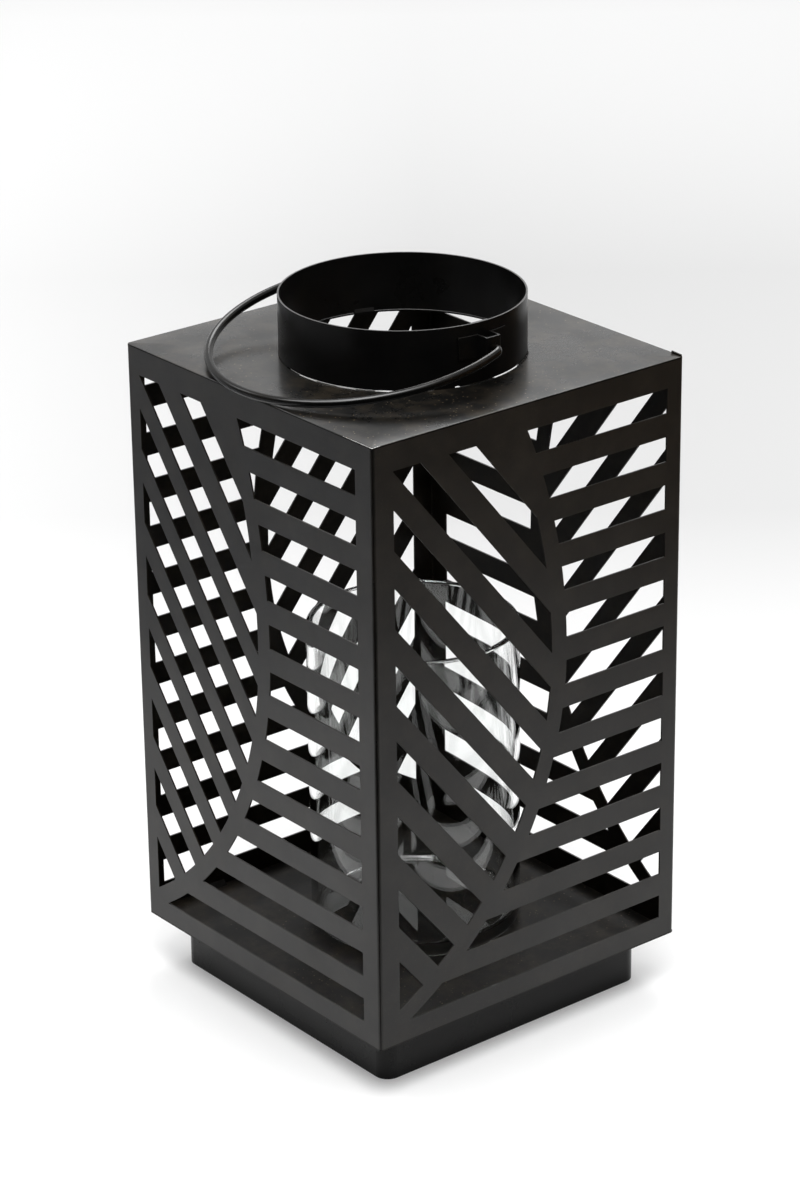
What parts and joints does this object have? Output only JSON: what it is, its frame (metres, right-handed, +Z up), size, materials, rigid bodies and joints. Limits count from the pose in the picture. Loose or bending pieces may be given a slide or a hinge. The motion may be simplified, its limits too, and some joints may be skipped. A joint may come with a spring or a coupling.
{
  "type": "lantern",
  "caption": "Square black sheet-steel lantern with leaf-like fretwork walls, a round collar with a swinging wire bail, a plinth, and a loose glass cylinder for a candle inside.",
  "frame": {"origin": "on the ground, in the middle of the plinth's foot", "axes": "+Z up; +X out of the right wall, through the right handle ear; -Y out of the front wall, on whose upper edge the bail lies at rest"},
  "size_m": [0.18, 0.1839, 0.3462],
  "materials": {
    "wall_paint": "satin black paint",
    "floor_paint": "satin black paint",
    "plinth_paint": "satin black paint",
    "top_paint": "satin black paint",
    "collar_paint": "satin black paint",
    "wire_paint": "satin black paint",
    "weld_paint": "satin black paint over weld beads",
    "clear_glass": "clear, fire-polished rim"
  },
  "bodies": {
    "lantern": {"wall_front": "wall_paint", "wall_right": "wall_paint", "wall_back": "wall_paint", "wall_left": "wall_paint", "front_seam_tacks": "weld_paint", "rear_seam_tacks": "weld_paint", "floor_plate": "floor_paint", "floor_tacks": "weld_paint", "plinth": "plinth_paint", "top_plate": "top_paint", "top_plate_tacks": "weld_paint", "collar": "collar_paint", "collar_tacks": "weld_paint", "handle_ear_right": "collar_paint", "handle_ear_left": "collar_paint"},
    "bail": {"bail_handle": "wire_paint"},
    "glass": {"glass_cylinder": "clear_glass"}
  },
  "joints": [
    {"name": "bail_swing", "type": "hinge", "parent": "lantern", "child": "bail", "pos_m": [0, 0, 0.33575], "axis": [-1, 0, 0], "range_deg": [0, 160.4]},
    {"name": "glass_lift", "type": "slide", "parent": "lantern", "child": "glass", "axis": [0.0241, -0.0372, 0.999], "range_m": [0, 0.33]}
  ]
}
